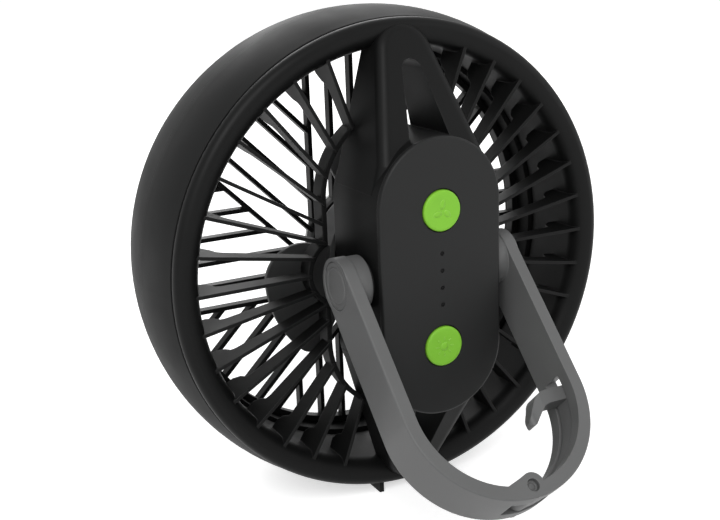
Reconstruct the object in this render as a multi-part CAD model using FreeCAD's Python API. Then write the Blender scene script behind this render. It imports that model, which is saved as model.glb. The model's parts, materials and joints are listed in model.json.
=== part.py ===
import FreeCAD, Part
import math
import os
from FreeCAD import Vector

# A portable camping fan: a round guard and shell, a control pod on two arms, a swinging bail with a hook.
# Everything is built round the fan axis, which is Y here, with y = 0 at the rear seam of the shell.
# The rear of the fan faces +Y. At the end each piece is moved to the row's frame.

# Place of the fan axis and of the rear seam in the row's frame
AXIS_HEIGHT = 104.6
SEAM_Y = -19.5

# Shell and front bezel
WALL = 2.4
SEAM_R = 100.6
WIDEST_R = 104.4
WIDEST_Y = -25.0
BEZEL_SEAM_Y = -28.0
FRONT_R = 98.2
FRONT_Y = -60.0
NOSE_Y = -60.65
FOOT_X = 13.0
FOOT_THICK = 2.0
FOOT_BACK_Y = 2.0

# Rear guard
LIP_CREST_R = 96.6
LIP_CREST_Y = 5.8
LIP_INNER_R = 89.3
LIP_ROUND = LIP_CREST_R - LIP_INNER_R
LIP_ROUND_Y = LIP_CREST_Y - LIP_ROUND
LIP_WALL = 2.1
DUCT_FRONT_Y = -28.5
FIN_COUNT = 36
FIN_PITCH = 10.0
FIN_THICK = 1.4
FINS_LEFT_OUT_BY_ARM = 15.0
RING_OUT = 36.1
RING_WALL = 2.1
RING_HALF = 30.0
RING_BACK_Y = 2.0
RING_FRONT_Y = -5.5
BULGE_X = 28.1
BULGE_R = 15.3

# Pod and its two arms
POD_R = 27.3
POD_HALF = 29.9
POD_FRONT_Y = -5.0
POD_FLOOR = 2.5
PLATE_Y = 34.84
PLATE_THICK = 2.5
POD_WALL = 2.2
ARM_TIP_Z = 98.5
ARM_TOP_Z = 96.0
ARM_TOP_Y = 7.1
ARM_FLAT_Y = 31.2
ARM_ROUND = 4.5
ARM_ROOT_Z = 36.0
ARM_SLOPE = 0.49
ARM_TOP_HALF = 10.5
ARM_FLARE = 0.27
ARM_FRONT_Y = -4.0
WINDOW_TOP_Z = 85.0
WINDOW_TOP_HALF = 4.4
WINDOW_FLARE = 0.19

# Buttons and lights on the pod cover
BUTTON_R = 8.4
BUTTON_Z = 28.04
BUTTON_GAP = 0.35
BUTTON_PROUD = 0.9
BUTTON_TRAVEL = 1.0
LIGHT_PITCH = 7.06
LIGHT_R = 0.8

# Bail and hook, drawn hanging straight down and then swung back
PIVOT_Y = 19.5
BAIL_TILT = 44.27
BAIL_OUT = 39.8
BAIL_THICK = 5.3
BAIL_HALF_WIDTH = 11.4
BAIL_LEG = 63.5
BOSS_R = 11.0
BOSS_IN_X = 28.86
PIVOT_PIN_R = 4.0
PIVOT_HEAD_R = 6.6
CAP_R = 9.8
RUNNING_GAP = 0.05
HOOK_PIN_DROP = 98.5
HOOK_PIN_R = 2.5
KNUCKLE_R = 4.5
HUMP_R = 4.9
SLOT_HALF = 5.2
SLOT_START = 12.5
SLOT_SWEEP = 98.0
HOOK_HALF = 4.7
HOOK_END_HALF = 3.1
HOOK_TIP_X = -15.3
HOOK_IN_R = 35.3
HOOK_OUT_R = 39.2

# Rotor and motor
HUB_R = 27.0
HUB_BACK_Y = -12.0
HUB_FRONT_Y = -29.0
TIP_R = 54.9
BLADE_COUNT = 3
BLADE_START = 75.0
BLADE_SPAN = 72.0
BLADE_THICK = 1.9
MOTOR_R = 12.2
MOTOR_BACK_Y = -8.0
MOTOR_FRONT_Y = -24.0
SHAFT_R = 1.5
BEARING_R = 4.0
BEARING_LENGTH = 3.0

# Front grille and lamp
GRILLE_R = 87.4
GRILLE_IN_R = 84.5
GRILLE_BACK_Y = -38.8
GRILLE_FRONT_Y = -43.0
BAR_PITCH = 10.5
BAR_WIDTH = 1.8
LAMP_R = 22.8
LAMP_WALL = 2.0

# Pieces inside the pod
CELL_R = 9.1
CELL_LENGTH = 65.0
CELL_X = 9.5
BOARD_BACK_Y = 25.6
BOARD_THICK = 1.6
SWITCH_SIZE = 6.0
SWITCH_TOP_Y = 28.4
SOCKET_Z = 22.0
SOCKET_Y = 22.0
SOCKET_HALF_TALL = 1.7
SOCKET_FIT = 0.15
SOCKET_HALF_LONG = 4.5
MOUNT_R = 20.0
MOUNT_SCREW_RING = 16.5
SCREW_R = 1.0
SCREW_HEAD_R = 2.0


def polar(radius, degrees, y):
    """A point at this radius and angle, counted from straight up towards +X."""
    angle = math.radians(degrees)
    return Vector(radius * math.sin(angle), y, radius * math.cos(angle))


def disc(radius, y_low, y_high, x=0.0, z=0.0):
    """A cylinder along Y between two heights."""
    return Part.makeCylinder(radius, y_high - y_low, Vector(x, y_low, z), Vector(0, 1, 0))


def tube(outer, inner, y_low, y_high, x=0.0, z=0.0):
    return disc(outer, y_low, y_high, x, z).cut(disc(inner, y_low - 1.0, y_high + 1.0, x, z))


def rod_x(radius, x_low, x_high, y, z):
    """A cylinder along X."""
    return Part.makeCylinder(radius, x_high - x_low, Vector(x_low, y, z), Vector(1, 0, 0))


def block(x_low, x_high, y_low, y_high, z_low, z_high):
    corner = Vector(x_low, y_low, z_low)
    return Part.makeBox(x_high - x_low, y_high - y_low, z_high - z_low, corner)


def stadium_wire(half_width, half_length, y):
    """A slot-shaped outline, long along Z."""
    left = Part.makeLine(Vector(-half_width, y, -half_length), Vector(-half_width, y, half_length))
    top = Part.Arc(
        Vector(-half_width, y, half_length),
        Vector(0, y, half_length + half_width),
        Vector(half_width, y, half_length),
    ).toShape()
    right = Part.makeLine(Vector(half_width, y, half_length), Vector(half_width, y, -half_length))
    bottom = Part.Arc(
        Vector(half_width, y, -half_length),
        Vector(0, y, -half_length - half_width),
        Vector(-half_width, y, -half_length),
    ).toShape()
    return Part.Wire([left, top, right, bottom])


def stadium(half_width, half_length, y_low, y_high):
    face = Part.Face(stadium_wire(half_width, half_length, y_low))
    return face.extrude(Vector(0, y_high - y_low, 0))


def ring_of(edges):
    """Turns a closed outline in the (radius, y) half plane once round the fan axis."""
    face = Part.Face(Part.Wire(edges))
    return face.revolve(Vector(0, 0, 0), Vector(0, 1, 0), 360)


def at(radius, y):
    return Vector(radius, y, 0)


def run(*points):
    """Straight edges through the points in turn."""
    edges = []
    for first, second in zip(points, points[1:]):
        edges.append(Part.makeLine(first, second))
    return edges


def arc(first, middle, last):
    return Part.Arc(first, middle, last).toShape()


def skin_radius(y, inset=0.0):
    """Outer radius of the shell at y: one arc behind the widest line and a flatter one ahead of it."""
    if y > WIDEST_Y:
        drop = WIDEST_R - SEAM_R
        reach = WIDEST_Y
    else:
        drop = WIDEST_R - FRONT_R
        reach = FRONT_Y - WIDEST_Y
    curve = (reach * reach + drop * drop) / (2.0 * drop)
    step = y - WIDEST_Y
    return WIDEST_R - curve + math.sqrt(curve * curve - step * step) - inset


def skin(y, inset=0.0):
    return at(skin_radius(y, inset), y)


def outer_shell():
    """The round drum between the two seams, with the two thin feet under it."""
    middle_back = WIDEST_Y / 2.0
    edges = [arc(skin(0.0), skin(middle_back), skin(WIDEST_Y))]
    edges.append(arc(skin(WIDEST_Y), skin(WIDEST_Y - 1.5), skin(BEZEL_SEAM_Y)))
    edges += run(skin(BEZEL_SEAM_Y), skin(BEZEL_SEAM_Y, WALL))
    edges.append(arc(skin(BEZEL_SEAM_Y, WALL), skin(WIDEST_Y - 1.5, WALL), skin(WIDEST_Y, WALL)))
    edges.append(arc(skin(WIDEST_Y, WALL), skin(middle_back, WALL), skin(0.0, WALL)))
    edges += run(skin(0.0, WALL), skin(0.0))
    drum = ring_of(edges)
    half_wall = WALL / 2.0
    keep_out = ring_of(run(
        at(0.0, BEZEL_SEAM_Y - 1.0),
        at(skin_radius(BEZEL_SEAM_Y, half_wall), BEZEL_SEAM_Y - 1.0),
        skin(BEZEL_SEAM_Y, half_wall),
        skin(middle_back, half_wall),
        skin(0.0, half_wall),
        at(SEAM_R + 0.1, 0.0),
        at(SEAM_R + 0.1, FOOT_BACK_Y + 1.0),
        at(0.0, FOOT_BACK_Y + 1.0),
        at(0.0, BEZEL_SEAM_Y - 1.0),
    ))
    top = -SEAM_R + 1.4
    for side in (-1, 1):
        low_x = side * FOOT_X - FOOT_THICK / 2.0
        foot = block(low_x, low_x + FOOT_THICK, BEZEL_SEAM_Y, FOOT_BACK_Y, -AXIS_HEIGHT, top)
        drum = drum.fuse(foot.cut(keep_out))
    return drum.removeSplitter()


def front_bezel():
    """The front half of the drum: its skin turns in at the nose and funnels back to the grille seat."""
    seat_r = GRILLE_R + 0.2
    seat_y = GRILLE_FRONT_Y - 0.3
    throat_r = GRILLE_IN_R + 1.0
    tongue_out = skin_radius(BEZEL_SEAM_Y, WALL + 0.1)
    tongue_in = tongue_out - 1.5
    nose = at(96.8, NOSE_Y)
    funnel_front = at(95.2, FRONT_Y + 1.2)
    hollow_front = at(95.6, FRONT_Y + 3.8)
    edges = [arc(skin(BEZEL_SEAM_Y), skin(-44.0), skin(FRONT_Y))]
    edges.append(arc(skin(FRONT_Y), at(97.7, NOSE_Y + 0.15), nose))
    edges.append(arc(nose, at(95.8, NOSE_Y + 0.5), funnel_front))
    edges += run(
        funnel_front,
        at(throat_r, seat_y - 3.0),
        at(throat_r, seat_y),
        at(seat_r, seat_y),
        at(seat_r, -30.0),
        at(92.0, -30.0),
        at(92.0, -32.4),
        at(90.0, -32.4),
        at(90.0, -47.0),
        hollow_front,
    )
    edges.append(arc(hollow_front, at(99.7, -44.0), at(tongue_in, -31.0)))
    edges += run(
        at(tongue_in, -31.0),
        at(tongue_in, BEZEL_SEAM_Y + 4.0),
        at(tongue_out, BEZEL_SEAM_Y + 4.0),
        at(tongue_out, BEZEL_SEAM_Y),
        skin(BEZEL_SEAM_Y),
    )
    return ring_of(edges)


def lip_back():
    """The lip's outline behind: from the shell's seam over the crest and down to the inner wall."""
    seam = at(SEAM_R - 0.7, 0.0)
    crest = at(LIP_CREST_R, LIP_CREST_Y)
    slant = LIP_ROUND * math.sqrt(0.5)
    shoulder = at(LIP_CREST_R - slant, LIP_ROUND_Y + slant)
    inner = at(LIP_INNER_R, LIP_ROUND_Y)
    return [arc(seam, at(99.3, 4.7), crest), arc(crest, shoulder, inner)]


def lip_ring():
    """The rolled rear edge with its tongue in the shell, and the air duct that runs on forwards from it."""
    slant = (LIP_ROUND - LIP_WALL) * math.sqrt(0.5)
    hollow_in = at(LIP_INNER_R + LIP_WALL, LIP_ROUND_Y)
    hollow_out = at(LIP_CREST_R, LIP_CREST_Y - LIP_WALL)
    edges = lip_back()
    edges += run(
        at(LIP_INNER_R, LIP_ROUND_Y),
        at(LIP_INNER_R, DUCT_FRONT_Y),
        at(LIP_INNER_R + LIP_WALL, DUCT_FRONT_Y),
        hollow_in,
    )
    hollow_mid = at(LIP_CREST_R - slant, LIP_ROUND_Y + slant)
    edges.append(arc(hollow_in, hollow_mid, hollow_out))
    edges += run(
        hollow_out,
        at(LIP_CREST_R, -6.0),
        at(SEAM_R - WALL - 0.1, -6.0),
        at(SEAM_R - WALL - 0.1, 0.0),
        at(SEAM_R - 0.7, 0.0),
    )
    return ring_of(edges)


def lip_form():
    """The space that the lip fills, hollow and all, for trimming what lands on it."""
    edges = lip_back()
    edges += run(at(LIP_INNER_R, LIP_ROUND_Y), at(LIP_INNER_R, -20.0), at(SEAM_R + 3.0, -20.0))
    edges += run(at(SEAM_R + 3.0, -20.0), at(SEAM_R + 3.0, 0.0), at(SEAM_R - 0.7, 0.0))
    return ring_of(edges)


def fin(degrees):
    """One flat radial fin, deep at the lip, stepped and thin from there in to the ribbon ring."""
    inner_r = 30.0
    outline = [
        (inner_r, 3.0),
        (LIP_CREST_R - 1.1, 4.0),
        (LIP_INNER_R + 1.4, -2.5),
        (LIP_INNER_R + 0.8, -11.5),
        (85.0, -11.5),
        (82.0, -8.7),
        (80.6, -5.4),
        (78.6, -4.6),
        (inner_r, -2.6),
        (inner_r, 3.0),
    ]
    half = FIN_THICK / 2.0
    wire = Part.makePolygon([Vector(-half, y, r) for r, y in outline])
    plate = Part.Face(wire).extrude(Vector(FIN_THICK, 0, 0))
    plate.rotate(Vector(0, 0, 0), Vector(0, 1, 0), degrees)
    return plate


def ribbon(grow, y_low, y_high):
    """The slot-shaped outline of the ribbon ring with its round bulges for the ends of the bail."""
    shape = stadium(RING_OUT + grow, RING_HALF, y_low, y_high)
    for side in (-1, 1):
        shape = shape.fuse(disc(BULGE_R + grow, y_low, y_high, side * BULGE_X))
    return shape


def rear_guard():
    """Lip ring, thirty fins and the ribbon ring round the pod, moulded as one, notched for the two arms."""
    body = lip_ring()
    hole = ribbon(-RING_WALL / 2.0, -20.0, 20.0)
    for index in range(FIN_COUNT):
        degrees = index * FIN_PITCH
        from_arm = min(degrees % 180.0, 180.0 - degrees % 180.0)
        if from_arm > FINS_LEFT_OUT_BY_ARM:
            body = body.fuse(fin(degrees).cut(hole))
    band = ribbon(0.0, RING_FRONT_Y, RING_BACK_Y).cut(ribbon(-RING_WALL, -20.0, 20.0))
    body = body.fuse(band)
    place_of_arm = arm_block(0.0, RING_FRONT_Y - 3.0, ARM_TIP_Z).common(disc(LIP_INNER_R, -20.0, 60.0))
    for notch in (place_of_arm, mirrored(place_of_arm)):
        body = body.cut(notch)
    return body.removeSplitter()


def mirrored(shape):
    """The same piece below the fan axis."""
    return shape.mirror(Vector(0, 0, 0), Vector(0, 0, 1))


def arm_width(z, inset):
    return ARM_TOP_HALF + ARM_FLARE * (ARM_TOP_Z - z) - inset


def arm_rise(z, inset):
    return ARM_TOP_Y + ARM_SLOPE * (ARM_TOP_Z - z) - inset


def arm_outline(inset, tip_z):
    """The arm from behind: two sides that close in towards the lip, joined by an arc tangent to both."""
    lean = math.sqrt(1.0 + ARM_FLARE * ARM_FLARE)
    radius = arm_width(tip_z, inset) / (lean - ARM_FLARE)
    centre_z = tip_z - radius
    touch_x = radius / lean
    touch_z = centre_z + radius * ARM_FLARE / lean
    wide = arm_width(ARM_ROOT_Z, inset)
    low = -30.0
    edges = run(Vector(-wide, low, ARM_ROOT_Z), Vector(-touch_x, low, touch_z))
    edges.append(arc(Vector(-touch_x, low, touch_z), Vector(0, low, tip_z), Vector(touch_x, low, touch_z)))
    edges += run(
        Vector(touch_x, low, touch_z),
        Vector(wide, low, ARM_ROOT_Z),
        Vector(-wide, low, ARM_ROOT_Z),
    )
    return Part.Face(Part.Wire(edges)).extrude(Vector(0, 90.0, 0))


def arm_block(inset, front_y, tip_z):
    """The tapering beam of one arm, as its side outline cut to its outline from behind."""
    flat_y = ARM_FLAT_Y - inset
    flat_z = ARM_TOP_Z - (ARM_FLAT_Y - ARM_TOP_Y) / ARM_SLOPE
    edges = run(
        Vector(-40.0, front_y, ARM_ROOT_Z),
        Vector(-40.0, flat_y, ARM_ROOT_Z),
        Vector(-40.0, flat_y, flat_z),
        Vector(-40.0, arm_rise(tip_z, inset), tip_z),
        Vector(-40.0, front_y, tip_z),
        Vector(-40.0, front_y, ARM_ROOT_Z),
    )
    beam = Part.Face(Part.Wire(edges)).extrude(Vector(80.0, 0, 0))
    return beam.common(arm_outline(inset, tip_z))


def arm_envelope():
    return arm_block(0.0, ARM_FRONT_Y, ARM_TIP_Z)


def arm_window(grow):
    """The tall window of an arm, round at its top and wider towards the pod."""
    centre_z = WINDOW_TOP_Z - WINDOW_TOP_HALF
    low = centre_z - ARM_ROOT_Z
    top_half = WINDOW_TOP_HALF + grow
    low_half = WINDOW_TOP_HALF + WINDOW_FLARE * low + grow
    left = Vector(-top_half, -30.0, centre_z)
    right = Vector(top_half, -30.0, centre_z)
    edges = [arc(left, Vector(0, -30.0, centre_z + top_half), right)]
    edges += run(
        right,
        Vector(low_half, -30.0, ARM_ROOT_Z - 1.0),
        Vector(-low_half, -30.0, ARM_ROOT_Z - 1.0),
        left,
    )
    return Part.Face(Part.Wire(edges)).extrude(Vector(0, 90.0, 0))


def rounded_arm():
    """The arm's outer form: its rear face rolls over into both sides and round the tip."""
    solid = arm_envelope()
    flanks = []
    for edge in solid.Edges:
        middle = edge.CenterOfMass
        first = edge.Vertexes[0].Point
        last = edge.Vertexes[-1].Point
        behind = min(first.y, last.y) > ARM_FRONT_Y + 5.0
        if behind and middle.z > ARM_ROOT_Z + 1.0 and abs(first.x + last.x) > 1.0:
            flanks.append(edge)
        elif behind and middle.z > ARM_TOP_Z - 6.0:
            flanks.append(edge)
    return solid.makeFillet(ARM_ROUND, flanks)


def arm():
    """One hollow A-shaped arm, open towards the front, that laps over the lip."""
    hollow = arm_block(POD_WALL, ARM_FRONT_Y - 1.0, ARM_TIP_Z - 6.0)
    hollow = hollow.cut(arm_window(POD_WALL))
    return rounded_arm().cut(hollow).cut(arm_window(0.0)).cut(lip_form())


def pivot_bores(shape):
    """Cuts the two holes of the pivot pins through the pod's side walls."""
    left = rod_x(PIVOT_PIN_R, -POD_R - 1.0, -POD_R + POD_WALL + 1.0, PIVOT_Y, 0.0)
    right = rod_x(PIVOT_PIN_R, POD_R - POD_WALL - 1.0, POD_R + 1.0, PIVOT_Y, 0.0)
    return shape.cut(left).cut(right)


def screw_places(ring_r, count, start):
    places = []
    for index in range(count):
        point = polar(ring_r, start + index * 360.0 / count, 0.0)
        places.append((point.x, point.z))
    return places


def slot_block(half_long, half_tall, x_low, x_high, y, z):
    """A bar along X with round ends, long along Z."""
    reach = half_long - half_tall
    bar = block(x_low, x_high, y - half_tall, y + half_tall, z - reach, z + reach)
    for side in (-1, 1):
        bar = bar.fuse(rod_x(half_tall, x_low, x_high, y, z + side * (half_long - half_tall)))
    return bar.removeSplitter()


def pod_housing():
    """The pod's wall and floor with both arms, one moulding that carries motor, cells and bail."""
    body = stadium(POD_R, POD_HALF, POD_FRONT_Y, PLATE_Y - PLATE_THICK)
    upper = arm().cut(stadium(POD_R - 0.5, POD_HALF, -40.0, 80.0))
    body = body.fuse(upper).fuse(mirrored(upper))
    room = stadium(POD_R - POD_WALL, POD_HALF, POD_FRONT_Y + POD_FLOOR, PLATE_Y)
    body = pivot_bores(body.cut(room))
    body = body.cut(disc(SHAFT_R + 3.0, POD_FRONT_Y - 1.0, 0.0))
    outer = -POD_R - 1.0
    long_half = SOCKET_HALF_LONG + SOCKET_FIT
    tall_half = SOCKET_HALF_TALL + SOCKET_FIT
    body = body.cut(slot_block(long_half, tall_half, outer, -20.0, SOCKET_Y, SOCKET_Z))
    for x, z in screw_places(MOUNT_SCREW_RING, 4, 45.0):
        body = body.cut(disc(SCREW_R, POD_FRONT_Y - 1.0, 0.0, x, z))
    return body.removeSplitter()


def light_heights():
    """The four indicator lights lie on the centre line, evenly about the fan axis."""
    return [(index - 1.5) * LIGHT_PITCH for index in range(4)]


def pod_cover():
    """The back plate of the pod, with a skirt that snaps inside the wall."""
    inside = POD_R - POD_WALL - 0.1
    plate = stadium(POD_R, POD_HALF, PLATE_Y - PLATE_THICK, PLATE_Y)
    rim = [edge for edge in plate.Edges if edge.CenterOfMass.y > PLATE_Y - 0.1]
    plate = plate.makeFillet(1.0, rim)
    skirt = stadium(inside, POD_HALF, PLATE_Y - 6.0, PLATE_Y - PLATE_THICK)
    skirt = skirt.cut(stadium(inside - 1.5, POD_HALF, 0.0, PLATE_Y))
    body = plate.fuse(skirt)
    for side in (-1, 1):
        body = body.cut(disc(BUTTON_R + BUTTON_GAP, 0.0, 50.0, 0.0, side * BUTTON_Z))
        body = body.cut(rod_x(PIVOT_HEAD_R + 0.4, side * 24.0 - 3.0, side * 24.0 + 3.0, PIVOT_Y, 0.0))
    for height in light_heights():
        body = body.cut(disc(LIGHT_R + 0.1, 0.0, 50.0, 0.0, height))
    return body.removeSplitter()


def push_button(z):
    """A round button with a soft rim, a flange that keeps it under the cover, and a stem for its switch."""
    top = disc(BUTTON_R, PLATE_Y - PLATE_THICK - 0.2, PLATE_Y + BUTTON_PROUD, 0.0, z)
    rim = [edge for edge in top.Edges if edge.CenterOfMass.y > PLATE_Y + BUTTON_PROUD - 0.1]
    top = top.makeFillet(0.8, rim)
    flange_top = PLATE_Y - PLATE_THICK - 0.15
    flange = disc(BUTTON_R + 1.4, flange_top - 1.0, flange_top, 0.0, z)
    stem = disc(2.0, SWITCH_TOP_Y + BUTTON_TRAVEL + 0.05, flange_top, 0.0, z)
    return top.fuse(flange).fuse(stem).removeSplitter()


def indicator_lights():
    """Four clear light pipes from the board to the plate."""
    pipes = [disc(LIGHT_R, BOARD_BACK_Y, PLATE_Y - 0.15, 0.0, height) for height in light_heights()]
    return Part.makeCompound(pipes)


def control_board():
    """The circuit board with its chips, on the two cells' side of the switches."""
    low = BOARD_BACK_Y - BOARD_THICK
    body = stadium(POD_R - POD_WALL - 3.4, POD_HALF - 2.0, low, BOARD_BACK_Y)
    for side in (-1, 1):
        body = body.cut(rod_x(PIVOT_HEAD_R + 0.6, side * 24.0 - 3.6, side * 24.0 + 3.6, PIVOT_Y, 0.0))
    body = body.fuse(block(5.0, 11.0, BOARD_BACK_Y, BOARD_BACK_Y + 1.2, -9.0, -3.0))
    body = body.fuse(block(-12.0, -7.0, BOARD_BACK_Y, BOARD_BACK_Y + 1.6, 3.0, 12.0))
    return body.removeSplitter()


def button_switches():
    """A small square switch with a round plunger under each button."""
    half = SWITCH_SIZE / 2.0
    switches = []
    for side in (-1, 1):
        z = side * BUTTON_Z
        body = block(-half, half, BOARD_BACK_Y, BOARD_BACK_Y + 2.0, z - half, z + half)
        switches.append(body.fuse(disc(1.5, BOARD_BACK_Y + 1.0, SWITCH_TOP_Y, 0.0, z)))
    return Part.makeCompound(switches)


def charging_socket():
    """The small charging socket in the side wall, an oval metal tube with a tongue."""
    outer = slot_block(SOCKET_HALF_LONG, SOCKET_HALF_TALL, -POD_R + 0.4, -21.5, SOCKET_Y, SOCKET_Z)
    room = slot_block(SOCKET_HALF_LONG - 0.4, SOCKET_HALF_TALL - 0.4, -POD_R, -22.5, SOCKET_Y, SOCKET_Z)
    half = SOCKET_HALF_LONG - 1.3
    tongue = block(-POD_R + 1.4, -22.0, SOCKET_Y - 0.35, SOCKET_Y + 0.35, SOCKET_Z - half, SOCKET_Z + half)
    return outer.cut(room).fuse(tongue).removeSplitter()


def battery_cells():
    """Two round cells side by side, each with its raised contact."""
    cells = []
    centre_y = POD_FRONT_Y + POD_FLOOR + 1.4 + CELL_R
    for side in (-1, 1):
        base = Vector(side * CELL_X, centre_y, -CELL_LENGTH / 2.0)
        cell = Part.makeCylinder(CELL_R, CELL_LENGTH, base)
        tip = Vector(side * CELL_X, centre_y, CELL_LENGTH / 2.0)
        cells.append(cell.fuse(Part.makeCylinder(3.0, 0.9, tip)).removeSplitter())
    return Part.makeCompound(cells)


def battery_tray():
    """A shallow tray with end walls that holds the cells off the pod's floor."""
    floor_y = POD_FRONT_Y + POD_FLOOR
    reach = CELL_LENGTH / 2.0 + 1.0
    body = block(-19.6, 19.6, floor_y, floor_y + 1.2, -reach - 1.6, reach + 1.6)
    for side in (-1, 1):
        inner = side * reach
        outer = side * (reach + 1.6)
        low, high = min(inner, outer), max(inner, outer)
        body = body.fuse(block(-19.6, 19.6, floor_y, floor_y + 12.0, low, high))
    return body.removeSplitter()


def tilt_back(shape):
    """Swings a piece drawn with the bail hanging straight down to where the bail stands."""
    shape.rotate(Vector(0, PIVOT_Y, 0), Vector(1, 0, 0), BAIL_TILT)
    return shape


def u_prism(reach, half):
    """A U-shaped slab open at the top, with straight legs this far apart and a half-round bottom."""
    edges = [Part.makeLine(Vector(-reach, -half, 0), Vector(-reach, -half, -BAIL_LEG))]
    bottom = Vector(0, -half, -BAIL_LEG - reach)
    edges.append(arc(Vector(-reach, -half, -BAIL_LEG), bottom, Vector(reach, -half, -BAIL_LEG)))
    edges += run(
        Vector(reach, -half, -BAIL_LEG),
        Vector(reach, -half, 0),
        Vector(-reach, -half, 0),
    )
    slab = Part.Face(Part.Wire(edges)).extrude(Vector(0, 2.0 * half, 0))
    slab.translate(Vector(0, PIVOT_Y, 0))
    return slab


def hook_slot():
    """The long slot in the band: from just past the hook's pin round to the corner of one leg."""
    half = SLOT_HALF
    start = SLOT_START
    sweep = SLOT_SWEEP
    base = Vector(0, PIVOT_Y - half, -BAIL_LEG)
    ring = Part.makeCylinder(46.0, 2.0 * half, base, Vector(0, 1, 0), 360)
    ring = ring.cut(Part.makeCylinder(28.0, 2.0 * half, base, Vector(0, 1, 0), 360))
    wedge = [Vector(0, -50.0, -BAIL_LEG)]
    for step in range(5):
        angle = math.radians(start - step * (start + sweep) / 4.0)
        wedge.append(Vector(90.0 * math.sin(angle), -50.0, -BAIL_LEG - 90.0 * math.cos(angle)))
    wedge.append(wedge[0])
    return ring.common(Part.Face(Part.makePolygon(wedge)).extrude(Vector(0, 150.0, 0)))


def bail():
    """The grey U-shaped bail: a flat band, round ends with inward bosses, and a hump round the hook's pin."""
    band = u_prism(BAIL_OUT, BAIL_HALF_WIDTH)
    long_edges = [edge for edge in band.Edges if edge.Length > 60.0 and edge.CenterOfMass.z < -5.0]
    band = band.makeFillet(0.8, long_edges)
    inner = u_prism(BAIL_OUT - BAIL_THICK, BAIL_HALF_WIDTH + 1.0)
    body = band.cut(inner)
    body = body.cut(block(-60.0, 60.0, PIVOT_Y - 20.0, PIVOT_Y + 20.0, 0.0, 30.0))
    for side in (-1, 1):
        low, high = sorted((side * (BAIL_OUT - BAIL_THICK), side * BAIL_OUT))
        body = body.fuse(rod_x(BAIL_HALF_WIDTH, low, high, PIVOT_Y, 0.0))
        low, high = sorted((side * BOSS_IN_X, side * (BAIL_OUT - 1.0)))
        body = body.fuse(rod_x(BOSS_R, low, high, PIVOT_Y, 0.0))
    low_y = PIVOT_Y - BAIL_HALF_WIDTH
    hump = Part.makeCylinder(HUMP_R, 2.0 * BAIL_HALF_WIDTH, Vector(0, low_y, -HOOK_PIN_DROP), Vector(0, 1, 0))
    ramp = [
        Vector(2.6, low_y, -HOOK_PIN_DROP + 4.15),
        Vector(11.5, low_y, -HOOK_PIN_DROP + 1.6),
        Vector(11.5, low_y, -HOOK_PIN_DROP - 2.0),
        Vector(-1.0, low_y, -HOOK_PIN_DROP - 3.0),
        Vector(2.6, low_y, -HOOK_PIN_DROP + 4.15),
    ]
    hump = hump.fuse(Part.Face(Part.makePolygon(ramp)).extrude(Vector(0, 2.0 * BAIL_HALF_WIDTH, 0)))
    body = body.fuse(hump).cut(hook_slot())
    body = body.cut(hook_pin_rod(HOOK_PIN_R))
    for side in (-1, 1):
        for radius, start, end in (
            (PIVOT_PIN_R + RUNNING_GAP, 20.0, BAIL_OUT + 1.0),
            (PIVOT_HEAD_R + 0.4, BAIL_OUT - 4.4, BAIL_OUT + 1.0),
            (CAP_R, BAIL_OUT - 1.3, BAIL_OUT + 1.0),
        ):
            low, high = sorted((side * start, side * end))
            body = body.cut(rod_x(radius, low, high, PIVOT_Y, 0.0))
    return tilt_back(body.removeSplitter())


def hook_pin_rod(radius):
    """The hook's pin, right across the band and level with its edges."""
    base = Vector(0, PIVOT_Y - BAIL_HALF_WIDTH, -HOOK_PIN_DROP)
    return Part.makeCylinder(radius, 2.0 * BAIL_HALF_WIDTH, base, Vector(0, 1, 0))


def beside_hook_end():
    """What is cut from both sides of the hook's end, so that it narrows to a round tip."""
    edges = run(Vector(-30.0, 0, -78.0), Vector(-30.0, HOOK_HALF, -78.0), Vector(-23.0, HOOK_HALF, -78.0))
    edges += run(Vector(-23.0, HOOK_HALF, -78.0), Vector(-18.6, HOOK_END_HALF, -78.0))
    tip = Vector(HOOK_TIP_X, 0, -78.0)
    edges.append(arc(Vector(-18.6, HOOK_END_HALF, -78.0), tip, Vector(-18.6, -HOOK_END_HALF, -78.0)))
    edges += run(Vector(-18.6, -HOOK_END_HALF, -78.0), Vector(-23.0, -HOOK_HALF, -78.0))
    edges += run(Vector(-23.0, -HOOK_HALF, -78.0), Vector(-30.0, -HOOK_HALF, -78.0), Vector(-30.0, 0, -78.0))
    kept = Part.Face(Part.Wire(edges)).extrude(Vector(0, 0, 20.0))
    room = block(-30.0, -10.0, -HOOK_HALF - 1.0, HOOK_HALF + 1.0, -78.0, -58.0)
    waste = room.cut(kept)
    waste.translate(Vector(0, PIVOT_Y, 0))
    return waste


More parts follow.
